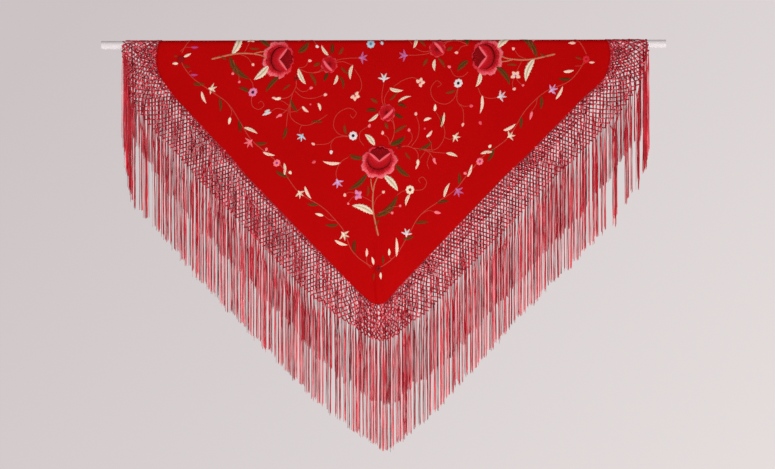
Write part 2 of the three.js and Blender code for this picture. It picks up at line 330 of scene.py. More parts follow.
CREPE_RED = (0.462, 0.0011, 0.0016, 1)
CREPE_DEEP = (0.42, 0.0009, 0.0012, 1)
crepe, nodes, links, shader = new_material("red_crepe", CREPE_RED, 0.62)
cut_place = nodes.new("ShaderNodeTexCoord").outputs["UV"]
shade = add_noise(nodes, links, cut_place, 3.2, 3.0)
links.new(add_ramp(nodes, links, shade, [(0.3, CREPE_DEEP), (0.75, CREPE_RED)]), shader.inputs["Base Color"])
shader.inputs["Specular IOR Level"].default_value = 0.02
crinkle = add_noise(nodes, links, cut_place, 900.0, 3.0)
slack = add_noise(nodes, links, cut_place, 38.0, 3.0)
fine = add_bump(nodes, links, crinkle, 0.0003, 0.5)
links.new(add_bump(nodes, links, slack, 0.0012, 0.25, over=fine), shader.inputs["Normal"])
cloth.data.materials.append(crepe)
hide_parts("cloth_front", "cloth_over_pole", "cloth_back")
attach(cloth, "root")

# The hem: the raw edge of the crepe, rolled between finger and thumb and whipped down with red silk.
# It runs once round the square, and the net's threads are drawn through just inside it.
HEM_RADIUS = 1.3
HEM_STEP = 7.0


def hem_line():
    """Close places on the right-hand half of the hem, from the front point to the back one: across, way, and
    the length along it."""
    straight_end = HALF_DIAGONAL - POINT_CORNER * (math.sqrt(2) - math.sin(EIGHTH))
    arc_end = SIDE_CORNER * math.sin(EIGHTH)
    point_centre = HALF_DIAGONAL - POINT_CORNER * math.sqrt(2)
    tip = point_centre + POINT_CORNER * np.sin(np.linspace(math.pi / 2, EIGHTH, 30))
    corner = SIDE_CORNER * np.sin(np.linspace(EIGHTH, -EIGHTH, 80))
    upper = np.concatenate([tip, np.linspace(straight_end, arc_end, 200)[1:-1]])
    from_diagonal = np.concatenate([upper, corner, -upper[::-1]])
    across = NARROW * half_width(from_diagonal)
    way = DROP * (from_diagonal + FOLD_BESIDE_DIAGONAL)
    along = np.concatenate([[0], np.cumsum(np.hypot(np.diff(across), np.diff(way)))])
    return across, way, along


hem_across, hem_way, hem_along = hem_line()
hem_length = hem_along[-1]


def on_hem(along):
    """Across and way at a length along the right-hand half of the hem."""
    return np.interp(along, hem_along, hem_across), np.interp(along, hem_along, hem_way)


def tubes(paths, radii, sides, outward, flat=1.0):
    """Points, maps and faces of closed tubes along paths (tube, step, xyz), with a radius at each step in
    metres. outward is the direction off the cloth, and flat narrows the tubes in it."""
    count, steps, _ = paths.shape
    forward = np.gradient(paths, axis=1)
    forward /= np.linalg.norm(forward, axis=-1, keepdims=True) + 1e-12
    beside = np.cross(forward, outward)
    beside /= np.linalg.norm(beside, axis=-1, keepdims=True) + 1e-12
    off = np.cross(beside, forward)
    turns = np.arange(sides) * 2 * math.pi / sides
    ring = beside[:, :, None] * np.cos(turns)[:, None] + off[:, :, None] * (flat * np.sin(turns))[:, None]
    points = paths[:, :, None] + ring * radii[:, :, None, None]
    length = np.concatenate(
        [np.zeros((count, 1)), np.cumsum(np.linalg.norm(np.diff(paths, axis=1), axis=-1), axis=1)], axis=1
    )
    uv = np.stack(np.broadcast_arrays((np.arange(sides) / sides)[None, None, :], length[:, :, None]), axis=-1)
    step = np.arange(steps - 1)[:, None] * sides
    side = np.arange(sides)[None, :]
    beyond = (side + 1) % sides
    one = np.stack([step + side, step + sides + side, step + sides + beyond, step + beyond], axis=-1)
    firsts = np.arange(count) * steps * sides
    quads = (firsts[:, None, None] + one.reshape(1, -1, 4)).reshape(-1, 4)
    fan = np.stack([np.zeros(sides - 2, int), np.arange(1, sides - 1), np.arange(2, sides)], axis=1)
    last = (steps - 1) * sides
    caps = np.concatenate([fan, last + fan[:, ::-1]])
    triangles = (firsts[:, None, None] + caps[None]).reshape(-1, 3)
    return points.reshape(-1, 3), uv.reshape(-1, 2), quads, triangles


def gather(parts):
    """Joins (points, uv, quads, triangles) parts into one."""
    firsts = np.cumsum([0] + [len(p[0]) for p in parts[:-1]])
    return (
        np.concatenate([p[0] for p in parts]),
        np.concatenate([p[1] for p in parts]),
        np.concatenate([p[2] + n for p, n in zip(parts, firsts)]),
        np.concatenate([p[3] + n for p, n in zip(parts, firsts)]),
    )


def off_cloth(across, way):
    """The direction off the cloth at a place on it."""
    away = hang(across, way, 2.0) - hang(across, way, -2.0)
    return away / np.linalg.norm(away, axis=-1, keepdims=True)


hem_count = int(hem_length / HEM_STEP)
hem_places = np.linspace(0, hem_length, hem_count)
hem_radii = np.full((1, hem_count), HEM_RADIUS * MM)
hem_parts = []
for hand in (-1, 1):
    across, way = on_hem(hem_places)
    path = hang(hand * across, way)[None]
    hem_parts.append(tubes(path, hem_radii, 6, off_cloth(hand * across, way)[None]))
points, uv, quads, triangles = gather(hem_parts)
hem = add_piece("rolled_hem", points, quads, triangles, uv)


def add_wave(nodes, links, place, bands, scale, distortion=0.0):
    wave = nodes.new("ShaderNodeTexWave")
    wave.bands_direction = bands
    wave.inputs["Scale"].default_value = scale
    wave.inputs["Distortion"].default_value = distortion
    links.new(place, wave.inputs["Vector"])
    return wave.outputs["Fac"]


SILK_RED = (0.36, 0.006, 0.010, 1)
whip_silk, nodes, links, shader = new_material("hem_silk", SILK_RED, 0.5)
round_place = nodes.new("ShaderNodeTexCoord").outputs["UV"]
stitches = add_wave(nodes, links, round_place, "Y", 120.0, 1.5)
links.new(add_bump(nodes, links, stitches, 0.0004), shader.inputs["Normal"])
hem.data.materials.append(whip_silk)
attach(hem, "root")

# The embroidery: satin stitch and long-and-short stitch in untwisted silk, worked by hand before the shawl
# was folded. One pattern is pricked four times, turned a quarter each time: a rose spray in each corner with
# its foot at the point, and a garland along each side.
SILKS = {
    "salmon": (0.86, 0.095, 0.125),
    "pink": (0.94, 0.20, 0.23),
    "pale": (0.95, 0.50, 0.42),
    "crimson": (0.50, 0.0035, 0.009),
    "rose_red": (0.68, 0.018, 0.032),
    "deep": (0.33, 0.0012, 0.004),
    "heart": (0.17, 0.0007, 0.0025),
    "olive": (0.150, 0.048, 0.007),
    "dark_olive": (0.075, 0.027, 0.003),
    "green": (0.075, 0.055, 0.006),
    "brown": (0.26, 0.036, 0.006),
    "peach": (0.94, 0.60, 0.46),
    "rosy": (0.78, 0.24, 0.40),
    "cream": (0.93, 0.77, 0.58),
    "sand": (0.46, 0.38, 0.22),
    "white": (0.80, 0.74, 0.72),
    "lilac": (0.50, 0.13, 0.42),
    "light_lilac": (0.72, 0.42, 0.66),
    "mauve": (0.40, 0.035, 0.20),
    "light_mauve": (0.58, 0.16, 0.36),
    "blue": (0.10, 0.25, 0.36),
    "light_blue": (0.45, 0.60, 0.68),
    "ink": (0.035, 0.005, 0.03),
    "tan": (0.58, 0.17, 0.09),
    "stalk": (0.60, 0.050, 0.034),
    "node": (0.30, 0.003, 0.004),
}
# The edge silk and the middle silk of leaves and petals.
SILK_PAIRS = {
    "white": ("white", "light_blue"),
    "lilac": ("light_lilac", "lilac"),
    "blue": ("light_blue", "blue"),
    "cream": ("cream", "sand"),
    "pink": ("pink", "salmon"),
    "pearl": ("white", "lilac"),
    "sky": ("light_blue", "white"),
    "mauve": ("light_mauve", "mauve"),
    "olive": ("olive", "dark_olive"),
    "dark": ("dark_olive", "olive"),
    "brown": ("brown", "olive"),
    "green": ("green", "dark_olive"),
    "mossy": ("dark_olive", "green"),
    "blush": ("cream", "pale"),
    "pale": ("pale", "cream"),
    "ivory": ("cream", "cream"),
    "peach": ("peach", "pale"),
    "plum": ("mauve", "salmon"),
}
# What isn't the same in every corner: the silks of the front, right, back and left one.
CORNER_SILKS = {
    "top": ("white", "mauve", "blue", "mauve"),
    "start": ("white", "mauve", "cream", "cream"),
    "middle": ("mauve", "white", "pink", "pink"),
    "end": ("lilac", "cream", "white", "cream"),
    "spray": ("cream", "cream", "white", "sky"),
    "hanging": ("lilac", "pearl", "pearl", "lilac"),
    "ring": ("cream", "cream", "light_lilac", "rosy"),
    "ring_middle": ("brown", "brown", "ink", "ink"),
    "blossom": ("rosy", "peach", "pink", "peach"),
    "berry": ("pink", "cream", "cream", "cream"),
    "tip_bud": ("pink", "pink", "white", "white"),
    "drop": ("white", "salmon", "white", "white"),
    "near_leaf": ("green", "green", "green", "cream"),
    "far_leaf": ("cream", "olive", "cream", "olive"),
    "side_leaf": ("olive", "cream", "olive", "olive"),
    "ring_leaf": ("cream", "cream", "cream", "olive"),
    "spray_leaf": ("cream", "cream", "olive", "olive"),
    "low_rose_leaf": ("cream", "brown", "cream", "cream"),
    "left_rose_leaf": ("dark", "cream", "dark", "dark"),
    "right_rose_leaf": ("dark", "dark", "dark", "cream"),
    "high_rose_leaf": ("cream", "cream", "cream", "olive"),
}
# Places are in millimetres, the first to the right of the corner's diagonal as the corner hangs down, and
# the second out from the shawl's middle towards the point.

# The leaves and buds that only some corners have, most of them round the rosette, where the embroiderer
# placed them by eye: foot, tip, width and silks.
CORNER_SPRIGS = [
    [
        ((233, 256), (244, 202), 11, "cream"),
        ((207, 198), (209, 172), 12, "ivory"),
        ((-10, 753), (-17, 724), 10, "ivory"),
        ((-37, 724), (-36, 693), 11, "pale"),
        ((48, 720), (48, 694), 10, "ivory"),
        ((25, 750), (25, 718), 8, "olive"),
        ((17, 780), (18, 806), 9, "ivory"),
        ((-7, 782), (-10, 810), 7, "brown"),
        ((76, 724), (75, 654), 12, "blush"),
        ((100, 662), (142, 650), 11, "olive"),
    ],
    [
        ((-56, 680), (-51, 720), 11, "blush"),
        ((-12, 748), (-4, 722), 8, "brown"),
        ((47, 724), (47, 696), 11, "peach"),
        ((-22, 776), (-22, 798), 9, "peach"),
        ((76, 724), (75, 654), 12, "blush"),
        ((100, 662), (142, 650), 11, "olive"),
    ],
    [
        ((233, 256), (244, 202), 11, "cream"),
        ((207, 198), (209, 172), 12, "ivory"),
        ((4, 42), (9, 57), 12, "sky"),
        ((-10, 753), (-17, 724), 10, "ivory"),
        ((-35, 722), (-35, 696), 11, "plum"),
        ((64, 722), (64, 696), 11, "plum"),
        ((30, 751), (35, 726), 8, "olive"),
        ((24, 772), (24, 794), 9, "ivory"),
        ((96, 714), (97, 668), 12, "olive"),
        ((126, 675), (165, 654), 11, "blush"),
    ],
    [
        ((200, 408), (212, 442), 11, "white"),
        ((192, 412), (200, 434), 8, "white"),
        ((-1, 752), (-14, 724), 10, "ivory"),
        ((-36, 726), (-36, 696), 11, "plum"),
        ((64, 726), (64, 696), 11, "plum"),
        ((30, 751), (35, 726), 8, "olive"),
        ((24, 772), (24, 794), 10, "ivory"),
        ((-2, 774), (-4, 790), 7, "brown"),
        ((96, 714), (97, 667), 12, "olive"),
        ((124, 676), (168, 653), 11, "blush"),
    ],
]

# Leaves: foot, tip, width, bend to the right as a share of the length, and silks.
LEAVES = [
    ((-60, 366), (-110, 354), 17, -0.10, "side_leaf"),
    ((-36, 424), (-104, 480), 19, -0.10, "olive"),
    ((70, 390), (128, 434), 17, 0.08, "olive"),
    ((42, 318), (99, 288), 18, 0.10, "near_leaf"),
    ((58, 276), (106, 249), 13, -0.06, "brown"),
    ((-4, 578), (80, 500), 23, 0.14, "olive"),
    ((-122, 280), (-131, 244), 12, -0.08, "brown"),
    ((-34, 505), (-32, 466), 9, 0.10, "brown"),
    ((150, 338), (202, 306), 13, 0.08, "olive"),
    ((-8, 168), (-36, 152), 13, 0.06, "brown"),
    ((66, 172), (102, 184), 12, -0.08, "right_rose_leaf"),
    ((36, 158), (62, 128), 10, 0.08, "brown"),
    ((-10, 196), (-52, 196), 13, 0.10, "left_rose_leaf"),
    ((58, 205), (90, 222), 12, 0.05, "mossy"),
    ((22, 238), (34, 262), 14, 0.00, "brown"),
    ((236, 214), (238, 258), 10, 0.06, "olive"),
    ((254, 350), (298, 362), 12, -0.06, "spray_leaf"),
    ((100, 346), (122, 372), 9, 0.04, "brown"),
    ((30, 430), (82, 486), 25, -0.06, "cream"),
    ((-16, 321), (-53, 281), 21, 0.08, "far_leaf"),
    ((-10, 571), (-91, 539), 25, 0.10, "cream"),
    ((-139, 384), (-207, 378), 12, -0.08, "blush"),
    ((-5, 206), (-42, 234), 12, -0.08, "low_rose_leaf"),
    ((70, 164), (117, 144), 9, -0.10, "high_rose_leaf"),
    ((167, 233), (196, 224), 11, -0.10, "blush"),
    ((181, 291), (200, 267), 12, 0.06, "pale"),
    ((128, 498), (112, 540), 12, 0.10, "ring_leaf"),
    ((30, 113), (83, 122), 13, 0.10, "cream"),
    ((12, 590), (-4, 622), 8, 0.08, "brown"),
]
GARLAND_LEAVES = [
    ((148, 604), (198, 600), 11, -0.06, "olive"),
    ((226, 530), (274, 524), 12, -0.06, "dark"),
    ((256, 510), (278, 458), 12, -0.07, "cream"),
    ((312, 462), (312, 420), 12, 0.06, "olive"),
    ((344, 436), (356, 390), 11, 0.06, "blush"),
    ((412, 380), (434, 326), 12, 0.08, "olive"),
    ((384, 353), (433, 347), 11, -0.08, "cream"),
    ((468, 268), (514, 244), 12, 0.08, "blush"),
    ((533, 216), (531, 262), 12, -0.06, "olive"),
    ((608, 144), (607, 192), 12, -0.06, "olive"),
    ((663, 156), (681, 108), 12, 0.08, "blush"),
    ((662, 80), (711, 80), 12, 0.08, "dark"),
]
# Buds: foot, tip, width and silk.
BUDS = [
    ((-40, 256), (-34, 243), 12, "tip_bud"),
    ((14, 283), (14, 268), 11, "pale"),
    ((114, 272), (111, 259), 12, "pink"),
    ((-118, 507), (-118, 493), 12, "pale"),
    ((24, 494), (32, 485), 12, "pale"),
    ((87, 543), (94, 536), 11, "pink"),
    ((56, 568), (65, 562), 12, "pink"),
    ((170, 264), (174, 257), 8, "salmon"),
    ((207, 368), (216, 378), 11, "pink"),
    ((137, 214), (137, 200), 12, "pale"),
    ((-179, 338), (-179, 353), 13, "drop"),
    ((150, 372), (153, 398), 12, "cream"),
    ((-240, 318), (-254, 312), 10, "pale"),
    ((-234, 378), (-248, 384), 12, "salmon"),
    ((150, 392), (147, 408), 9, "pale"),
    ((206, 372), (222, 390), 8, "pink"),
    ((180, 292), (190, 280), 9, "cream"),
    ((-105, 536), (-105, 526), 10, "pink"),
]
GARLAND_BUDS = [
    ((218, 562), (244, 567), 12, "berry"),
    ((328, 421), (342, 425), 11, "pink"),
    ((414, 330), (424, 320), 12, "cream"),
    ((575, 199), (567, 230), 11, "berry"),
]
# Stalks and stems: the width at the foot and at the end, and the places that they run through.
STALKS = [
    (7.5, 5.5, [(8, 648), (-1, 609), (-11, 560), (-13, 520), (-11, 488)]),
    (5, 4, [(-11, 490), (-17, 468), (-20, 440)]),
    (5.5, 4.5, [(-11, 490), (-6, 462), (6, 434)]),
]
STEMS = [
    (3.4, 3, [(42, 318), (56, 285), (57, 250), (48, 222)]),
    (3, 3, [(57, 262), (52, 240), (36, 222)]),
    (3.4, 3, [(66, 330), (105, 324), (136, 335), (148, 352), (151, 372)]),
    (3, 2.6, [(128, 331), (165, 336), (190, 348), (207, 368)]),
    (3, 2.6, [(165, 336), (210, 346), (254, 350)]),
    (3, 2.4, [(160, 334), (214, 336), (244, 300), (246, 262), (226, 222), (209, 196)]),
    (2.8, 2.4, [(40, 318), (36, 296), (22, 284), (14, 282)]),
    (2.8, 2.4, [(108, 324), (124, 302), (124, 282), (114, 270)]),
    (2.8, 2.4, [(122, 326), (146, 292), (150, 250), (138, 213)]),
    (
        2.8,
        2.4,
        [
            *[(-112, 288), (-150, 280), (-172, 250), (-160, 208), (-118, 186), (-88, 202), (-100, 222)],
            (-112, 208),
        ],
    ),
    (2.8, 2.4, [(-112, 288), (-160, 292), (-192, 314), (-240, 318)]),
    (2.6, 2.2, [(-168, 295), (-180, 316), (-179, 336)]),
    (2.8, 2.4, [(-56, 322), (-72, 300), (-70, 272), (-42, 252)]),
    (3, 2.6, [(-112, 362), (-142, 384), (-152, 418), (-147, 446)]),
    (2.8, 2.4, [(-12, 526), (-38, 512), (-60, 502)]),
    (2.6, 2.2, [(-76, 494), (-98, 490), (-116, 496)]),
    (2.6, 2.2, [(-78, 502), (-92, 512), (-104, 528)]),
    (2.8, 2.4, [(-10, 540), (2, 512), (24, 494)]),
    (2.8, 2.4, [(78, 502), (98, 488), (118, 484)]),
    (2.6, 2.2, [(8, 566), (34, 558), (57, 567)]),
    (2.6, 2.2, [(34, 558), (60, 544), (88, 542)]),
    (3, 2.2, [(138, 484), (176, 480), (190, 456), (176, 436), (160, 446), (168, 458)]),
    (3, 2.6, [(18, 186), (9, 160), (5, 122), (5, 92)]),
    (2.8, 2.4, [(22, 184), (18, 150), (32, 114)]),
    (2.8, 2.4, [(-108, 44), (-86, 76), (-76, 112), (-88, 142)]),
    (2.6, 2.2, [(176, 342), (160, 366), (150, 392)]),
    (2.6, 2.2, [(196, 346), (186, 384), (196, 408)]),
    (2.6, 2.2, [(246, 292), (268, 300), (282, 292)]),
    (2.6, 2.2, [(200, 338), (196, 312), (182, 292)]),
]
GARLAND_STEMS = [
    (
        3.6,
        3.6,
        [
            *[(6, 766), (34, 751), (64, 728), (88, 700), (124, 640), (166, 574), (236, 524), (298, 482)],
            *[(346, 424), (396, 360), (444, 328), (492, 288), (543, 204), (586, 158), (630, 122), (690, 98)],
            *[(724, 70), (746, 40), (760, 14)],
        ],
    ),
    (2.6, 2.2, [(170, 571), (196, 557), (219, 562)]),
    (2.6, 2.2, [(356, 412), (344, 414), (334, 422)]),
    (2.6, 2.2, [(404, 352), (412, 342), (416, 330)]),
    (2.6, 2.2, [(594, 150), (588, 178), (568, 203)]),
    (2.6, 2.2, [(58, 732), (52, 728), (50, 720)]),
    (2.6, 2.2, [(-20, 766), (-34, 748), (-36, 722)]),
]
# Lilies: place, the way they face in degrees from the point, petal length, number of petals, and silks.
LILIES = [
    ((4, 84), 180, 30, 4, "top"),
    ((-146, 450), 20, 30, 4, "hanging"),
    ((284, 289), 60, 27, 4, "spray"),
    ((114, 645), 172, 28, 4, "start"),
    ((305, 483), 40, 30, 4, "middle"),
    ((490, 290), 120, 27, 4, "cream"),
    ((640, 125), 130, 30, 4, "end"),
]
# Ring flowers: place, radius, petal silk and middle silk.
RING_FLOWERS = [
    ((-97, 286), 17, "white", "ink"),
    ((128, 482), 17, "ring", "ring_middle"),
    ((384, 380), 14, "pink", "mauve"),
    ((78, 326), 10, "node", "heart"),
]
# The light blue flower near the shawl's middle, worked once, with the back corner.
BACK_CORNER = 2
MIDDLE_FLOWER = ((48, 46), 16, "light_blue", "blue")
# The place of the big rose in each corner, and the rosette near its point, which is a ring flower.
ROSES = [(5, 376), (-2, 387), (5, 382), (9, 390)]
ROSETTES = [
    ((9, 767), 13, "node", "heart"),
    ((-11, 765), 14, "rose_red", "crimson"),
    ((9, 767), 13, "node", "heart"),
    ((9, 762), 15, "node", "deep"),
]
# Blossoms of four round petals: place, the way they face, radius, petal silk and middle silk.
BLOSSOMS = [
    ((-94, 142), 40, 17, "peach", "salmon"),
    ((-70, 500), 90, 18, "blossom", "lilac"),
]


def curve(places, steps=7):
    """A soft line through the places, with so many steps from each to the next."""
    p = np.array(places, float)
    p = np.concatenate([2 * p[:1] - p[1:2], p, 2 * p[-1:] - p[-2:-1]])
    t = (np.arange(steps) / steps)[:, None]
    parts = [
        0.5 * (2 * b + (c - a) * t + (2 * a - 5 * b + 4 * c - d) * t**2 + (3 * b - a - 3 * c + d) * t**3)
        for a, b, c, d in zip(p, p[1:], p[2:], p[3:])
    ]
    return np.concatenate([*parts, p[-2:-1]])


def silk(name):
    """The colour of a silk, as an array."""
    return np.array(SILKS[name])


# How far the edges of the stitches stand off the crepe's face, and how deep their undersides lie in it.
EDGE_OFF = 0.15
UNDERSIDE = -0.15
LEAF_COLUMNS = (-1, -0.7, -0.3, 0, 0.3, 0.7, 1)
STEM_COLUMNS = (-1, -0.5, 0, 0.5, 1)
RIB = 0.22


def laid(spine, half, high, edge, middle, groove=0.0, slant=0.8, columns=LEAF_COLUMNS):
    """Stitches laid across a spine of places: rings round it of place, height, colour and thread place."""
    forward = np.gradient(spine, axis=0)
    forward /= np.linalg.norm(forward, axis=-1, keepdims=True) + 1e-9
    beside = np.stack([-forward[:, 1], forward[:, 0]], axis=-1)
    top = np.array(columns, float)
    under = np.array([0.5, -0.5])
    t = np.concatenate([top, under])[None, :]
    place = spine[:, None] + beside[:, None] * (half[:, None] * t)[..., None]
    swell = np.sqrt(np.clip(half / (half.max() * 0.45), 0.05, 1))[:, None]
    grooved = 1 - groove * np.exp(-((t / RIB) ** 2))
    dome = EDGE_OFF + high * swell * np.sqrt(np.maximum(1 - t**2, 0)) * grooved
    height = np.where(np.arange(t.shape[1])[None, :] < len(top), dome, UNDERSIDE)
    inner = np.exp(-((t / RIB) ** 2))[..., None]
    colour = silk(edge) + (silk(middle) - silk(edge)) * inner * np.ones((len(spine), 1, 1))
    along = np.concatenate([[0], np.cumsum(np.linalg.norm(np.diff(spine, axis=0), axis=-1))])[:, None]
    aside = half[:, None] * t
    thread = np.stack(np.broadcast_arrays(aside, along - slant * np.abs(aside)), axis=-1)
    return place, height, colour, thread


def leaf(foot, tip, wide, bend, edge, middle):
    foot, tip = np.array(foot, float), np.array(tip, float)
    way = tip - foot
    s = np.linspace(0, 1, 15)
    spine = foot + way * s[:, None] + np.array([-way[1], way[0]]) * (bend * 4 * s * (1 - s))[:, None]
    teeth = 1 + 0.09 * np.cos(np.arange(15) * math.pi)
    half = wide / 2 * np.maximum(np.sin(math.pi * s**0.85) ** 0.8 * teeth, 0.03)
    return laid(spine, half, 0.95, edge, middle, groove=0.45)


def bud(foot, tip, wide, colour):
    foot, tip = np.array(foot, float), np.array(tip, float)
    s = np.linspace(0, 1, 9)
    half = wide / 2 * np.maximum(np.sin(math.pi * s**0.75) ** 0.65, 0.05)
    return laid(foot + (tip - foot) * s[:, None], half, 1.1, colour, colour, slant=0.2)


def stem(foot_wide, end_wide, places, colour):
    spine = curve(places)
    half = np.linspace(foot_wide, end_wide, len(spine)) / 2
    half[0] *= 0.4
    half[-1] *= 0.4
    return laid(spine, half, 0.8, colour, colour, slant=1.4, columns=STEM_COLUMNS)


def facing(degrees):
    """The two directions of a flower: the way it faces, turned right from the point's way, and its right."""
    turn = math.radians(degrees)
    return np.array([math.sin(turn), math.cos(turn)]), np.array([math.cos(turn), -math.sin(turn)])


PETAL_RINGS = (0.04, 0.22, 0.4, 0.56, 0.7, 0.82, 0.92, 1.0)
FLOWER_RINGS = (0.04, 0.2, 0.3, 0.42, 0.6, 0.8, 0.93, 1.0)


def disc(centre, degrees, outline, low, high, tint, sides=40, shares=PETAL_RINGS):
    """A stitched round: outline gives its radius and tint its colour, by the angle from the way it faces."""
    ahead, right = facing(degrees)
    angle = np.arange(sides) * 2 * math.pi / sides
    radius = outline(angle)
    top = np.array(shares)
    share = np.concatenate([top, [0.7, 0.04]])[:, None]
    spoke = share * radius
    place = np.array(centre, float) + (spoke * np.cos(angle))[..., None] * ahead
    place = place + (spoke * np.sin(angle))[..., None] * right
    dome = low + high * np.sqrt(np.maximum(1 - share**3, 0)) + 0 * angle
    dome = np.where(share > 0.99, max(low, EDGE_OFF), dome)
    height = np.where(np.arange(len(share))[:, None] < len(top), dome, UNDERSIDE)
    colour = tint(share, angle)
    thread = np.stack(np.broadcast_arrays(spoke, angle * radius.mean()), axis=-1)
    return place, height, colour, thread


def between(centre, degrees, inner, outer, low, high, tint, rows=6, stations=29):
    """Stitches from an inner line to an outer one: each line gives places ahead and right for -1 to 1."""
    ahead, right = facing(degrees)
    s = np.linspace(-1, 1, stations)
    a, b = (np.stack(line(s), axis=-1) for line in (inner, outer))
    t = np.concatenate([np.linspace(0, 1, rows), [0.6, 0.3]])[None, :, None]
    flat = a[:, None] + (b - a)[:, None] * t
    place = np.array(centre, float) + flat[..., :1] * ahead + flat[..., 1:] * right
    swell = np.sqrt(np.clip(np.linalg.norm(b - a, axis=-1) / 12, 0.05, 1))[:, None]
    share = t[..., 0]
    dome = low + high * swell * np.sqrt(np.maximum(1 - (2 * share - 1) ** 4, 0))
    height = np.where(np.arange(rows + 2)[None, :] < rows, dome, UNDERSIDE)
    colour = tint(share, s[:, None])
    thread = np.stack(np.broadcast_arrays(share * 30, s[:, None] * 60), axis=-1)
    return place, height, colour, thread


def blend(share, stops):
    """The colour at a share, from (share, silk) stops."""
    marks = [mark for mark, name in stops]
    table = np.array([silk(name) for mark, name in stops])
    return np.stack([np.interp(share, marks, table[:, i]) for i in range(3)], axis=-1)


def scallops(angle, count, deep, turned=0.0):
    return 1 - deep + deep * np.abs(np.cos(count * angle / 2 + turned)) ** 0.8


def rose(centre, degrees):
    """A cupped rose that faces the way given: petals outside, a cup, its dark heart and its pale lips."""

    def outer(angle):
        wide = 66 + 5 * np.abs(np.sin(angle)) - 11 * np.clip(np.cos(angle), 0, 1)
        return wide * scallops(angle, 9, 0.13, 0.5) * (1 + 0.02 * np.cos(24 * angle))

    def outer_tint(share, angle):
        back = 0.5 - 0.5 * np.cos(angle)
        ridged = share + 0.02 * np.cos(9 * angle) + 0.02 * np.cos(24 * angle) + 0.025 * np.cos(36 * angle)
        light = [(0.60, "deep"), (0.68, "crimson"), (0.77, "rose_red"), (0.84, "salmon"), (1, "pink")]
        dark = blend(ridged, [(0.62, "deep"), (0.74, "crimson"), (0.84, "rose_red"), (1, "rose_red")])
        return dark + (blend(ridged, light) - dark) * smooth(back * 1.5)[..., None]

    def middle(angle):
        return (47 + 4 * np.abs(np.sin(angle)) - 4 * np.cos(angle)) * scallops(angle, 7, 0.09, 0.9)

    def middle_tint(share, angle):
        # The deep ring just outside the cup is painted shade under the cup's rim; the dark heart inside it is
        # the silk's own.
        ridged = share + 0.03 * np.cos(13 * angle) + 0.04 * np.cos(28 * angle)
        return blend(ridged, [(0.5, "heart"), (0.76, "deep"), (0.88, "crimson"), (1, "rose_red")])

    def lip(s):
        return -3 + 31 * np.abs(s), 40 * s

    def cup_foot(s):
        turn = s * math.radians(112)
        return 3 - 36 * np.cos(turn), 45 * np.sin(turn)

    def heart_top(s):
        return 29 + 20 * np.cos(s * math.pi / 2) - 2 * np.cos(s * 14), 42 * s

    def lip_tint(share, s):
        ridged = share + 0.05 * np.cos(s * 40) + 0.05 * np.cos(s * 88)
        rows = [(0, "salmon"), (0.12, "rose_red"), (0.4, "crimson"), (0.72, "crimson"), (1, "heart")]
        return blend(ridged, rows)

    def heart_tint(share, s):
        ridged = share + 0.16 * np.cos(s * 31)
        rows = [(0, "deep"), (0.25, "heart"), (0.5, "deep"), (0.7, "heart"), (0.9, "deep"), (1, "crimson")]
        return blend(ridged, rows)

    parts = [
        disc(centre, degrees, outer, EDGE_OFF, 0.8, outer_tint, sides=72),
        disc(centre, degrees, middle, 0.75, 0.45, middle_tint, sides=56),
        between(centre, degrees, lip, heart_top, 1.15, 0.25, heart_tint),
        between(centre, degrees, lip, cup_foot, 1.2, 0.45, lip_tint),
    ]
    ahead, right = facing(degrees)
    for hand in (-1, 1):
        s = np.linspace(0, 1, 12)[:, None]
        spine = np.array(centre, float) + (-3 + 31 * s) * ahead + hand * 40 * s * right
        half = 5.0 * np.maximum(np.sin(math.pi * (0.08 + 0.87 * s[:, 0])) ** 0.5, 0.1)
        parts.append(lifted(laid(spine, half, 0.7, "salmon", "pink", slant=0.5), 1.45))
    return parts


def lifted(part, by):
    place, height, colour, thread = part
    return place, height + by, colour, thread


def small_rose(centre, degrees):
    """A half-open rose with one pale lip across it."""

    def outline(angle):
        return 32 * scallops(angle, 7, 0.16, 0.3) * (1 + 0.03 * np.cos(19 * angle))

    def petal_tint(share, angle):
        ridged = share + 0.05 * np.cos(7 * angle)
        rows = [(0, "heart"), (0.3, "deep"), (0.5, "crimson"), (0.82, "crimson"), (0.93, "rose_red")]
        return blend(ridged, [*rows, (1, "salmon")])

    ahead, right = facing(degrees)
    s = np.linspace(-1, 1, 12)[:, None]
    spine = np.array(centre, float) + (-9 + 3 * s**2) * ahead + 25 * s * right
    half = 6.5 * np.maximum(np.cos(s[:, 0] * 1.45) ** 0.4, 0.1)
    return [
        disc(centre, degrees, outline, EDGE_OFF, 0.9, petal_tint, sides=56),
        lifted(laid(spine, half, 0.7, "salmon", "pink", slant=0.3), 0.8),
    ]


def lily(centre, degrees, long, petals, edge, middle):
    """A fan of pointed petals, no two quite of a length, and the bud that they spring from."""
    parts = []
    for turn in np.linspace(-72, 72, petals):
        ahead, right = facing(degrees + turn)
        foot = np.array(centre, float) - 3 * ahead
        reach = long * (0.98 + 0.12 * math.cos(turn * 2.3))
        parts.append(leaf(foot, foot + reach * ahead, long * 0.25, np.sign(turn) * 0.05, edge, middle))
    ahead, right = facing(degrees + 180)
    foot = np.array(centre, float) - 9 * ahead
    parts.append(lifted(bud(foot, foot + long * 0.62 * ahead, long * 0.32, edge), 0.25))
    return parts


def ring_flower(centre, radius, petal, middle):
    def outline(angle):
        return radius * scallops(angle, 8, 0.2)

    def tint(share, angle):
        return blend(share + 0 * angle, [(0.3, middle), (0.42, petal), (1, petal)])

    return [disc(centre, 0, outline, EDGE_OFF, 1.1, tint, shares=FLOWER_RINGS)]


def blossom(centre, degrees, radius, petal, middle):
    parts = []
    for turn in (-110, -38, 38, 110):
        ahead, right = facing(degrees + turn)
        foot = np.array(centre, float) + 1.5 * ahead
        parts.append(bud(foot, foot + radius * ahead, radius * 0.85, petal))
    parts.append(lifted(ring_flower(centre, 4.5, middle, middle)[0], 0.5))
    return parts


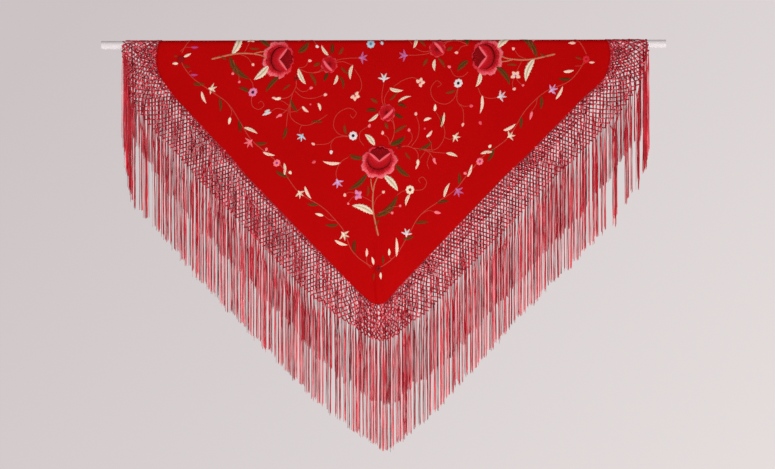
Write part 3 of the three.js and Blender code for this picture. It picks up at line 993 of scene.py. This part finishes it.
def corner_pattern(corner):
    """All stitched parts of one corner and of the side that runs on from it."""
    here = {name: silks[corner] for name, silks in CORNER_SILKS.items()}
    parts = [stem(*row, "tan") for row in STALKS]
    parts += [stem(*row, "stalk") for row in STEMS + GARLAND_STEMS]
    for foot, tip, wide, bend, silks in LEAVES + GARLAND_LEAVES:
        parts.append(leaf(foot, tip, wide, bend, *SILK_PAIRS[here.get(silks, silks)]))
    for foot, tip, wide, colour in BUDS + GARLAND_BUDS:
        parts.append(bud(foot, tip, wide, here.get(colour, colour)))
    for foot, tip, wide, silks in CORNER_SPRIGS[corner]:
        parts.append(leaf(foot, tip, wide, 0.04, *SILK_PAIRS[silks]))
    for place, degrees, long, petals, silks in LILIES:
        parts += lily(place, degrees, long, petals, *SILK_PAIRS[here.get(silks, silks)])
    for place, radius, petal, middle in RING_FLOWERS:
        parts += ring_flower(place, radius, here.get(petal, petal), here.get(middle, middle))
    for place, degrees, radius, petal, middle in BLOSSOMS:
        parts += blossom(place, degrees, radius, here.get(petal, petal), middle)
    parts += ring_flower(*ROSETTES[corner])
    if corner == BACK_CORNER:
        parts += ring_flower(*MIDDLE_FLOWER)
    return parts + rose(ROSES[corner], 180) + small_rose((28, 203), 222)


def ring_faces(steps, sides, first):
    """The faces of a closed skin over rings of points, with a cap at each end."""
    step = first + np.arange(steps - 1)[:, None] * sides
    side = np.arange(sides)[None, :]
    beyond = (side + 1) % sides
    quads = np.stack([step + side, step + beyond, step + sides + beyond, step + sides + side], axis=-1)
    fan = first + np.stack([np.zeros(sides - 2, int), np.arange(2, sides), np.arange(1, sides - 1)], axis=1)
    return quads.reshape(-1, 4), np.concatenate([fan, (steps - 1) * sides + fan[:, ::-1]])


def dye_threads(nodes, links, shader, place, stretch, detail, share, streaks):
    """Colours a shader by the tint of its threads, with darker and lighter streaks in stretched noise."""
    tint = nodes.new("ShaderNodeVertexColor")
    tint.layer_name = "Thread"
    stretched = nodes.new("ShaderNodeMapping")
    stretched.inputs["Scale"].default_value = stretch
    links.new(place, stretched.inputs["Vector"])
    noise = add_noise(nodes, links, stretched.outputs["Vector"], 1.0, detail)
    stops = [(at, (level, level, level, 1)) for at, level in streaks]
    shade = nodes.new("ShaderNodeMix")
    shade.data_type = "RGBA"
    shade.blend_type = "MULTIPLY"
    shade.inputs["Factor"].default_value = share
    links.new(tint.outputs["Color"], shade.inputs["A"])
    links.new(add_ramp(nodes, links, noise, stops), shade.inputs["B"])
    links.new(shade.outputs["Result"], shader.inputs["Base Color"])


stitch_silk, nodes, links, shader = new_material("embroidery_silk", (0.5, 0.1, 0.1, 1), 0.42)
thread_place = nodes.new("ShaderNodeTexCoord").outputs["UV"]
dye_threads(nodes, links, shader, thread_place, (90, 900, 1), 2.0, 0.5, [(0.3, 0.55), (0.65, 1.25)])
stitches = add_wave(nodes, links, thread_place, "Y", 420.0, 0.6)
links.new(add_bump(nodes, links, stitches, 0.00025, 0.8), shader.inputs["Normal"])
shader.inputs["Specular IOR Level"].default_value = 0.06

for corner, corner_name in enumerate(("front", "right", "back", "left")):
    points, tints, threads, quads, triangles, first = [], [], [], [], [], 0
    for place, height, colour, thread in corner_pattern(corner):
        aside, out = place[..., 0], place[..., 1]
        from_middle, from_diagonal = ((aside, out), (out, -aside), (-aside, -out), (-out, aside))[corner]
        way = DROP * (from_diagonal + FOLD_BESIDE_DIAGONAL)
        hung = hang(NARROW * from_middle, way, height + CREPE_THICK / 2)
        steps, sides = height.shape
        part_quads, part_triangles = ring_faces(steps, sides, first)
        points.append(hung.reshape(-1, 3))
        tints.append(np.concatenate([colour, np.ones((steps, sides, 1))], axis=-1).reshape(-1, 4))
        threads.append(thread.reshape(-1, 2) * MM)
        quads.append(part_quads)
        triangles.append(part_triangles)
        first += steps * sides
    stitched = add_piece(
        f"embroidery_{corner_name}",
        np.concatenate(points),
        np.concatenate(quads),
        np.concatenate(triangles),
        np.concatenate(threads),
        np.concatenate(tints),
    )
    face_outwards(stitched)
    stitched.data.materials.append(stitch_silk)
    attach(stitched, "root")

# The knotted net: doubled threads of twisted rayon are drawn through the hem, and each knot takes one thread
# from its left neighbour above and one from its right, row under row, so that the meshes are small diamonds.
# It is tied by hand, so no two meshes are quite alike.
NET_ROWS = 13
MESH_WIDE = 15.8
STRAND_RADIUS = 1.9
STRANDS_APART = 2.5
KNOT_LONG = 3.3
KNOT_WIDE = 3.1
KNOT_THICK = 2.2
KNOTS_UNEVEN = 1.0
LOOSER_OVER_POLE = 2.0
LOOSE_REACH = 60
STANDS_OFF = 0.35
STRAND_SLACK = 0.5
STRAND_SAG = 0.6
# How much closer the threads stand near the points and near the pole, and how far along the hem that reaches.
FAN_CROWD = 0.8
FAN_REACH = 150
END_CROWD = 0.6
END_REACH = 190
# At the right end the net is drawn outwards, from this place along the pole, and all the way this far on.
DRAWN_OUT = 14
DRAWN_FROM = 870
DRAWN_OVER = 110
# The rayon's red with painted light: darker threads are painted shade for those in the shade of their
# neighbours, and a pale pink is a painted highlight for those that catch the light. The shares say how many
# of the knots and of the two strands of each mesh side have each colour. The knots are mostly painted shade.
# The left strand of each side is painted as its shaded copy and the right strand as its lit copy.
NET_COLOURS_AND_PAINTED_LIGHT = [(0.28, 0.004, 0.012), (0.48, 0.010, 0.025), (0.74, 0.055, 0.085), (0.93, 0.230, 0.270)]
KNOT_SHARES = (0.45, 0.35, 0.17, 0.03)
SHADED_LEFT_STRAND_SHARES = (0.5, 0.3, 0.17, 0.03)
LIT_RIGHT_STRAND_SHARES = (0.15, 0.3, 0.35, 0.2)
# How the net leans outwards from straight down, and how deep it is, by the length along the hem from where
# the cloth leaves the pole, and from the point.
LEAN_FROM_POLE = [(0, 90), (60, 70), (130, 50), (170, 42), (240, 31)]
DEPTH_FROM_POLE = [(0, 131), (60, 118), (130, 125), (170, 133), (240, 141)]
LEAN_FROM_POINT = [(0, 0), (70, 13), (150, 27), (230, 31)]
DEPTH_FROM_POINT = [(0, 134), (70, 129), (150, 137), (230, 141)]
NEAR_POINT = 230
chance = np.random.default_rng(7)


def off_pole(along):
    """How far along the hem a place is from where the cloth leaves the pole, and nought over the pole."""
    pole_front = np.interp(-QUARTER_WRAP, -hem_way, hem_along)
    pole_back = np.interp(QUARTER_WRAP, -hem_way, hem_along)
    return np.maximum(np.maximum(pole_front - along, along - pole_back), 0)


def net_place(along, share):
    """Across and way in the right-hand net, by the length along the hem and the share of the net's depth."""
    across, way = on_hem(along)
    from_pole = off_pole(along)
    from_point = np.minimum(along, hem_length - along)
    near = from_point < NEAR_POINT
    lean = np.where(near, read_table(LEAN_FROM_POINT, from_point), read_table(LEAN_FROM_POLE, from_pole))
    lean = np.radians(lean)
    depth = np.where(near, read_table(DEPTH_FROM_POINT, from_point), read_table(DEPTH_FROM_POLE, from_pole))
    towards_front = np.where(way > 0, 1.0, -1.0)
    return across + share * depth * np.sin(lean), way + towards_front * share * depth * np.cos(lean)


# Where the net fans out below a point and beside the pole, the threads stand closer along the hem.
fine_along = np.linspace(0, hem_length, 2000)
crowd = 1 + FAN_CROWD * smooth(1 - np.minimum(fine_along, hem_length - fine_along) / FAN_REACH)
crowd += END_CROWD * smooth(1 - off_pole(fine_along) / END_REACH)
threads_drawn = (crowd[1:] + crowd[:-1]) / 2 * np.diff(fine_along)
column_count = np.concatenate([[0], np.cumsum(threads_drawn)]) / MESH_WIDE
net_columns = int(round(column_count[-1]))
column_count *= net_columns / column_count[-1]


def tie_net(hand):
    """The knots of one half of the net: across, way and out for each row and column."""
    row = np.arange(NET_ROWS + 1)[:, None]
    column = np.arange(net_columns)[None, :]
    along = np.interp(column + 0.25 + 0.5 * (row % 2), column_count, fine_along)
    across, way = net_place(along, row / NET_ROWS)
    near_pole = smooth(1 - np.abs(way) / LOOSE_REACH)
    loose = np.minimum(row, 1) * (KNOTS_UNEVEN + LOOSER_OVER_POLE * near_pole)
    across = across + chance.normal(0, 1, across.shape) * loose
    way = way + chance.normal(0, 1, way.shape) * loose
    out = chance.normal(0, STANDS_OFF, way.shape)
    if hand > 0:
        across = across + DRAWN_OUT * smooth((across - DRAWN_FROM) / DRAWN_OVER)
    return hand * across, way, out


def tint_tubes(part, colours):
    """The tint of every point of a part, from one colour for each of its tubes."""
    each = len(part[0]) // len(colours)
    return np.repeat(np.concatenate([colours, np.ones((len(colours), 1))], axis=1), each, axis=0)


def knot_barrels(centres, forward, outward):
    """Knots as small closed barrels: four rings of five between two caps, along forward."""
    rings = [(-1.0, 0.45), (-0.45, 1.0), (0.45, 1.0), (1.0, 0.45)]
    steps = np.array([r[0] for r in rings])
    swell = np.array([r[1] for r in rings])
    paths = centres[:, None] + forward[:, None] * (steps * KNOT_LONG * MM)[None, :, None]
    radii = np.broadcast_to(swell * KNOT_WIDE * MM, (len(centres), len(rings)))
    return tubes(paths, radii, 5, np.broadcast_to(outward[:, None], paths.shape), KNOT_THICK / KNOT_WIDE)


def strands_between(a, b, outward, bow, beside):
    """Single strands between the knots a and b, bowed, and beside millimetres off the straight line."""
    along = (b - a) / (np.linalg.norm(b - a, axis=-1, keepdims=True) + 1e-9)
    aside = np.cross(along, outward) * beside * MM
    paths = np.stack([a + 0.4 * aside, (a + b) / 2 + bow + aside, b + 0.4 * aside], axis=1)
    radii = np.full(paths.shape[:2], STRAND_RADIUS * MM)
    return tubes(paths, radii, 3, np.broadcast_to(outward[:, None], paths.shape))


def pick_thread_colours(thread_colours, weights, count):
    """Colours for so many threads, painted shade and highlight among them, each a bit lighter or darker at
    random.
    """
    picked = np.array(thread_colours)[chance.choice(len(thread_colours), count, p=weights)]
    return np.clip(picked * chance.uniform(0.85, 1.15, (count, 1)), 0, 1)


def thread_material(name, grain, strands):
    """Twisted rayon thread: strands run round it, and each length takes the dye a little differently."""
    material, nodes, links, shader = new_material(name, (0.5, 0.01, 0.02, 1), 0.42)
    place = nodes.new("ShaderNodeTexCoord").outputs
    stretch = (grain, grain, grain / 10)
    dye_threads(nodes, links, shader, place["Object"], stretch, 3.0, 1.0, [(0.3, 0.62), (0.7, 1.3)])
    twist = add_wave(nodes, links, place["UV"], "DIAGONAL", strands)
    links.new(add_bump(nodes, links, twist, 0.0002, 0.35), shader.inputs["Normal"])
    shader.inputs["Specular IOR Level"].default_value = 0.2
    return material


net_thread = thread_material("net_thread", 110.0, 5.0)
knotted = {}
for side_name, hand in (("left", -1), ("right", 1)):
    across, way, out = tie_net(hand)
    knotted[side_name] = (across, way)
    spots = hang(across, way, out)
    away = off_cloth(across, way)
    lowest = spots[-1] - spots[-2]
    down_net = np.concatenate([np.diff(spots, axis=0), lowest[None]])
    down_net /= np.linalg.norm(down_net, axis=-1, keepdims=True)
    strand_ends = []
    for r in range(NET_ROWS):
        shift = r % 2
        for step in (0, 1):
            first = np.arange(net_columns)
            second = first + (shift if step else shift - 1)
            kept = (second >= 0) & (second < net_columns)
            strand_ends.append((r, first[kept], second[kept]))
    for layer_name, is_front in (("front", True), ("back", False)):
        in_layer = (way > 0) == is_front
        knots = knot_barrels(spots[in_layer], down_net[in_layer], away[in_layer])
        parts = [knots]
        tints = [tint_tubes(knots, pick_thread_colours(NET_COLOURS_AND_PAINTED_LIGHT, KNOT_SHARES, in_layer.sum()))]
        for r, first, second in strand_ends:
            kept = in_layer[r, first]
            a, b = spots[r, first[kept]], spots[r + 1, second[kept]]
            off = away[r, first[kept]]
            slack = off * chance.normal(0, STRAND_SLACK, (len(a), 1)) * MM
            slack = slack + np.array([0, 0, -STRAND_SAG * MM])
            # The left strand of each pair takes darker colours as painted shade, the right one paler ones as
            # painted highlight.
            for beside, weights in ((-0.5, SHADED_LEFT_STRAND_SHARES), (0.5, LIT_RIGHT_STRAND_SHARES)):
                parts.append(strands_between(a, b, off, slack, beside * STRANDS_APART))
                tints.append(tint_tubes(parts[-1], pick_thread_colours(NET_COLOURS_AND_PAINTED_LIGHT, weights, len(a))))
        points, uv, quads, triangles = gather(parts)
        tint = np.concatenate(tints)
        net = add_piece(f"knotted_net_{layer_name}_{side_name}", points, quads, triangles, uv, tint)
        net.data.materials.append(net_thread)
        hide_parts(f"net_{layer_name}_{side_name}", f"net_over_pole_{side_name}")
        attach(net, "root")

# The fringe: below the last row of knots the threads of each knot hang free, a small bundle from each, and
# are trimmed by hand. They are crimped from the skein, cling to their neighbours, and part at the tips.
THREADS_IN_BUNDLE = 8
LOOSE_THREADS = 3
THREAD_RADIUS = 0.94
THREAD_STEPS = 13
BUNDLE_HALF = 2.8
LENGTH_AT_POLE = {"front": {"left": 350, "right": 368}, "back": {"left": 344, "right": 346}}
LONGER_AT_POINT = 36
THREADS_UNEVEN = 4
BUNDLES_UNEVEN = 6
# The fringe's colours: the rayon's own uneven red, with painted light in it. The darkest is painted shade for
# threads in the shade of their neighbours, and the palest pink is a painted highlight. The shares say how
# many threads take each.
FRINGE_COLOURS_AND_PAINTED_LIGHT = [(0.25, 0.004, 0.012), (0.56, 0.010, 0.026), (0.84, 0.045, 0.070), (0.94, 0.190, 0.230)]
FRINGE_SHARES = (0.26, 0.32, 0.27, 0.15)
# How far bundles cling aside, three at a time, how far loose threads stray, and how far each bundle and each
# thread wanders by its tip.
CLING = 3.6
CLING_TOGETHER = 3
STRAY = 4.0
BUNDLE_WANDER = 1.0
THREAD_WANDER = 0.7
# The crimp: its height, and how far down the thread its slow and its quick wave take for each radian.
CRIMP = 0.5
SLOW_WAVE = 34
QUICK_WAVE = 13
# How far down the threads open out, stray and cling in full, and are gathered into a tassel.
OPEN_BY = 60
STRAY_BY = 90
CLING_BY = 110
GATHER_BY = 50
# Where bundles cling together into tassels near the ends of the pole: the tassel's place along the pole, how
# far off it still draws bundles in, and how much of the way they come. Its threads shade each other, and that
# shade is painted into them as a darker, even red.
TASSELS = [
    (-944, 34, 0.35),
    (-884, 12, 0.6),
    (-835, 12, 0.8),
    (790, 9, 0.7),
    (859, 24, 0.92),
    (945, 17, 0.9),
    (973, 9, 0.85),
    (993, 8, 0.7),
]
TASSEL_HALF = 7
# Painted shade: the darker, even red that the threads of a tassel are drawn towards.
TASSEL_PAINTED_SHADE = (0.56, 0.006, 0.018)


def fringe_paths(across, way, layer_name, side_name):
    """The paths of the threads that hang from the last knots of one half of a layer."""
    roots = hang(across, way)
    down = np.abs(way)
    to_point = np.clip(1 - np.abs(across) / NARROW / HALF_DIAGONAL, 0, 1)
    length = LENGTH_AT_POLE[layer_name][side_name] + LONGER_AT_POINT * to_point
    knots = len(across)
    share = np.linspace(0, 1, THREAD_STEPS)
    own_length = length[:, None] + chance.normal(0, THREADS_UNEVEN, (knots, THREADS_IN_BUNDLE))
    own_length = own_length + chance.normal(0, BUNDLES_UNEVEN, (knots, 1))
    fall = share * own_length[..., None]
    on_arc = np.minimum(down[:, None, None] + fall, QUARTER_WRAP)
    turn = on_arc / BED
    toward = np.where(way > 0, -1.0, 1.0)[:, None, None]
    still_on_pole = down < QUARTER_WRAP
    y_arc = toward * BED * np.sin(turn) * MM
    y = np.where(still_on_pole[:, None, None], y_arc, roots[:, None, None, 1])
    z_arc = BED * np.cos(turn) - np.maximum(down[:, None, None] + fall - QUARTER_WRAP, 0)
    z = np.where(still_on_pole[:, None, None], z_arc * MM, roots[:, None, None, 2] - fall * MM)
    x = np.broadcast_to(roots[:, None, None, 0], z.shape)
    width = BUNDLE_HALF * chance.uniform(0.5, 1.4, (knots, 1, 1))
    spread = np.linspace(-1, 1, THREADS_IN_BUNDLE)[None, :, None] * width
    opened = smooth(fall / OPEN_BY) * (0.6 + 0.4 * share)
    leaders = np.arange(0, knots + CLING_TOGETHER, CLING_TOGETHER)
    cling = np.interp(np.arange(knots), leaders, chance.normal(0, CLING, len(leaders)))
    drawn = np.zeros(knots)
    if layer_name == "front":
        for place, reach, pull in TASSELS:
            off_place = place - roots[:, 0] / MM
            near = np.abs(off_place) < reach
            drawn = np.where(near, off_place * pull, drawn)
            cling = np.where(near, 0, cling)
    wander = chance.normal(0, THREAD_WANDER, (knots, THREADS_IN_BUNDLE, 1))
    wander = wander + chance.normal(0, BUNDLE_WANDER, (knots, 1, 1))
    strayed = np.zeros((knots, THREADS_IN_BUNDLE, 1))
    strayed[:, :LOOSE_THREADS] = chance.normal(0, STRAY, (knots, LOOSE_THREADS, 1))
    phase = chance.uniform(0, 2 * math.pi, (2, knots, THREADS_IN_BUNDLE, 1))
    waves = np.sin(fall / SLOW_WAVE + phase[0]) + 0.6 * np.sin(fall / QUICK_WAVE + phase[1])
    crimp = CRIMP * waves * smooth(fall / OPEN_BY)
    gathered = drawn[:, None, None] * smooth(fall / GATHER_BY)
    gathered = gathered + cling[:, None, None] * smooth(fall / CLING_BY)
    x = x + (spread * opened + gathered + strayed * smooth(fall / STRAY_BY) + wander * share + crimp) * MM
    ply = chance.normal(0, 0.9, (knots, THREADS_IN_BUNDLE, 1)) * opened
    y = y + toward * (np.abs(ply) + 0.3 * crimp * opened) * MM
    return np.stack([x, y, z], axis=-1).reshape(-1, THREAD_STEPS, 3)


fringe_thread = thread_material("fringe_thread", 130.0, 3.0)
for side_name in ("left", "right"):
    across, way = (part[-1] for part in knotted[side_name])
    for layer_name, is_front in (("front", True), ("back", False)):
        kept = (way > 0) == is_front
        paths = fringe_paths(across[kept], way[kept], layer_name, side_name)
        radii = np.broadcast_to(
            THREAD_RADIUS * MM * np.interp(np.linspace(0, 1, THREAD_STEPS), [0, 0.96, 1], [1, 1, 0.8]),
            paths.shape[:2],
        )
        outward = np.broadcast_to(np.array([0, -1.0 if is_front else 1.0, 0.05]), paths.shape)
        threads = tubes(paths, radii, 3, outward)
        points, uv, quads, triangles = threads
        # Per-thread colours, with painted shade and painted highlight among them.
        thread_colours = pick_thread_colours(FRINGE_COLOURS_AND_PAINTED_LIGHT, FRINGE_SHARES, len(paths))
        # The threads of a tassel are drawn mostly towards the painted shade.
        if is_front:
            for place, *_ in TASSELS:
                bunched = np.abs(paths[:, -1, 0] / MM - place) < TASSEL_HALF
                thread_colours[bunched] = 0.3 * thread_colours[bunched] + 0.7 * np.array(TASSEL_PAINTED_SHADE)
        tint = tint_tubes(threads, thread_colours)
        fringe = add_piece(f"fringe_{layer_name}_{side_name}_threads", points, quads, triangles, uv, tint)
        fringe.data.materials.append(fringe_thread)
        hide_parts(f"fringe_{layer_name}_{side_name}")
        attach(fringe, "root")

# The studio: a pale floor below the shawl, pale walls far off, soft lamps, and a camera straight in front.
# The camera takes in as much as the photograph does, and leans as little as its photographer did.
PICTURE_WIDE = 775
PICTURE_HIGH = 469
MM_PER_PIXEL = 3.72
POLE_ROW = 44.4
MIDDLE_COLUMN = 384.0
CAMERA_AWAY = 7.0
CAMERA_LEAN = math.radians(0.135)
FLOOR_RADIUS = 2.6
FLOOR_MIDDLE = (0, 0, -2.75)
FLOOR_DIM = (0.82, 0.77, 0.775, 1)
FLOOR_BRIGHT = (0.86, 0.81, 0.815, 1)
WALL_DIM = (0.60, 0.545, 0.555, 1)
WALL_BRIGHT = (0.79, 0.735, 0.73, 1)

view_wide = PICTURE_WIDE * MM_PER_PIXEL * MM
aim_x = (PICTURE_WIDE / 2 - MIDDLE_COLUMN) * MM_PER_PIXEL * MM
aim_z = (POLE_ROW - PICTURE_HIGH / 2) * MM_PER_PIXEL * MM
camera_data = bpy.data.cameras.new("camera")
camera_data.sensor_width = 36
camera_data.lens = 36 * CAMERA_AWAY / view_wide
camera_data.clip_end = 60
camera = bpy.data.objects.new("camera", camera_data)
camera.location = (aim_x, -CAMERA_AWAY, aim_z)
camera.rotation_euler = (math.pi / 2, CAMERA_LEAN, 0)
bpy.context.collection.objects.link(camera)
bpy.context.scene.camera = camera

# The floor glows a little, though it is no lamp: a painted glow, which lights the shawl from below.
bpy.ops.object.select_all(action="DESELECT")
bpy.ops.mesh.primitive_circle_add(vertices=96, radius=FLOOR_RADIUS, fill_type="NGON", location=FLOOR_MIDDLE)
studio_floor = bpy.context.object
studio_floor.name = "studio_floor"
bpy.ops.object.transform_apply(location=True, rotation=False, scale=False)
floor_paint, nodes, links, shader = new_material("pale_floor_painted_glow", (0.84, 0.79, 0.795, 1), 0.8)
place = nodes.new("ShaderNodeTexCoord").outputs["Object"]
mottle = add_ramp(nodes, links, add_noise(nodes, links, place, 1.3), [(0.3, FLOOR_DIM), (0.7, FLOOR_BRIGHT)])
links.new(mottle, shader.inputs["Base Color"])
# Painted glow: the floor gives off light of its own.
shader.inputs["Emission Color"].default_value = (0.84, 0.79, 0.80, 1)
shader.inputs["Emission Strength"].default_value = 0.38
studio_floor.data.materials.append(floor_paint)


def add_lamp(name, spot, aim, size, watts):
    """A soft square lamp at a spot, turned towards its aim."""
    lamp_data = bpy.data.lights.new(name, "AREA")
    lamp_data.shape = "RECTANGLE"
    lamp_data.size, lamp_data.size_y = size
    lamp_data.energy = watts
    lamp = bpy.data.objects.new(name, lamp_data)
    lamp.location = spot
    bpy.context.collection.objects.link(lamp)
    reach = [a - b for a, b in zip(aim, spot)]
    flat = math.hypot(reach[0], reach[1])
    lamp.rotation_euler = (math.atan2(flat, -reach[2]), 0, math.atan2(reach[1], reach[0]) - math.pi / 2)


add_lamp("key_lamp", (0.3, -3.2, -2.05), (0, 0, -1.15), (2.6, 1.2), 66)
add_lamp("fill_lamp", (-2.4, -4.2, 0.8), (0, 0, -0.7), (2.4, 2.0), 6)
add_lamp("back_lamp", (-0.8, 4.4, -0.4), (0, 0, -0.6), (2.4, 2.0), 44)

# The pale walls of the studio stand far off, a little brighter low down on the right, under a dimmer ceiling.
world = bpy.data.worlds.new("studio_air")
world.use_nodes = True
nodes, links = world.node_tree.nodes, world.node_tree.links
towards = nodes.new("ShaderNodeVectorMath")
towards.operation = "DOT_PRODUCT"
towards.inputs[1].default_value = (0.75, 0.0, -0.66)
direction = nodes.new("ShaderNodeTexCoord").outputs["Generated"]
links.new(direction, towards.inputs[0])
spread = nodes.new("ShaderNodeMapRange")
spread.inputs["From Min"].default_value = -0.2
spread.inputs["From Max"].default_value = 0.25
links.new(towards.outputs["Value"], spread.inputs["Value"])
walls = add_ramp(nodes, links, spread.outputs["Result"], [(0, WALL_DIM), (1, WALL_BRIGHT)])
links.new(walls, nodes["Background"].inputs["Color"])
heights = nodes.new("ShaderNodeSeparateXYZ")
links.new(direction, heights.inputs[0])
ceiling = nodes.new("ShaderNodeMapRange")
ceiling.inputs["From Min"].default_value = 0.25
ceiling.inputs["From Max"].default_value = 0.75
ceiling.inputs["To Min"].default_value = 1.0
ceiling.inputs["To Max"].default_value = 0.5
links.new(heights.outputs["Z"], ceiling.inputs["Value"])
links.new(ceiling.outputs["Result"], nodes["Background"].inputs["Strength"])
bpy.context.scene.world = world
bpy.context.scene.view_settings.view_transform = "Standard"
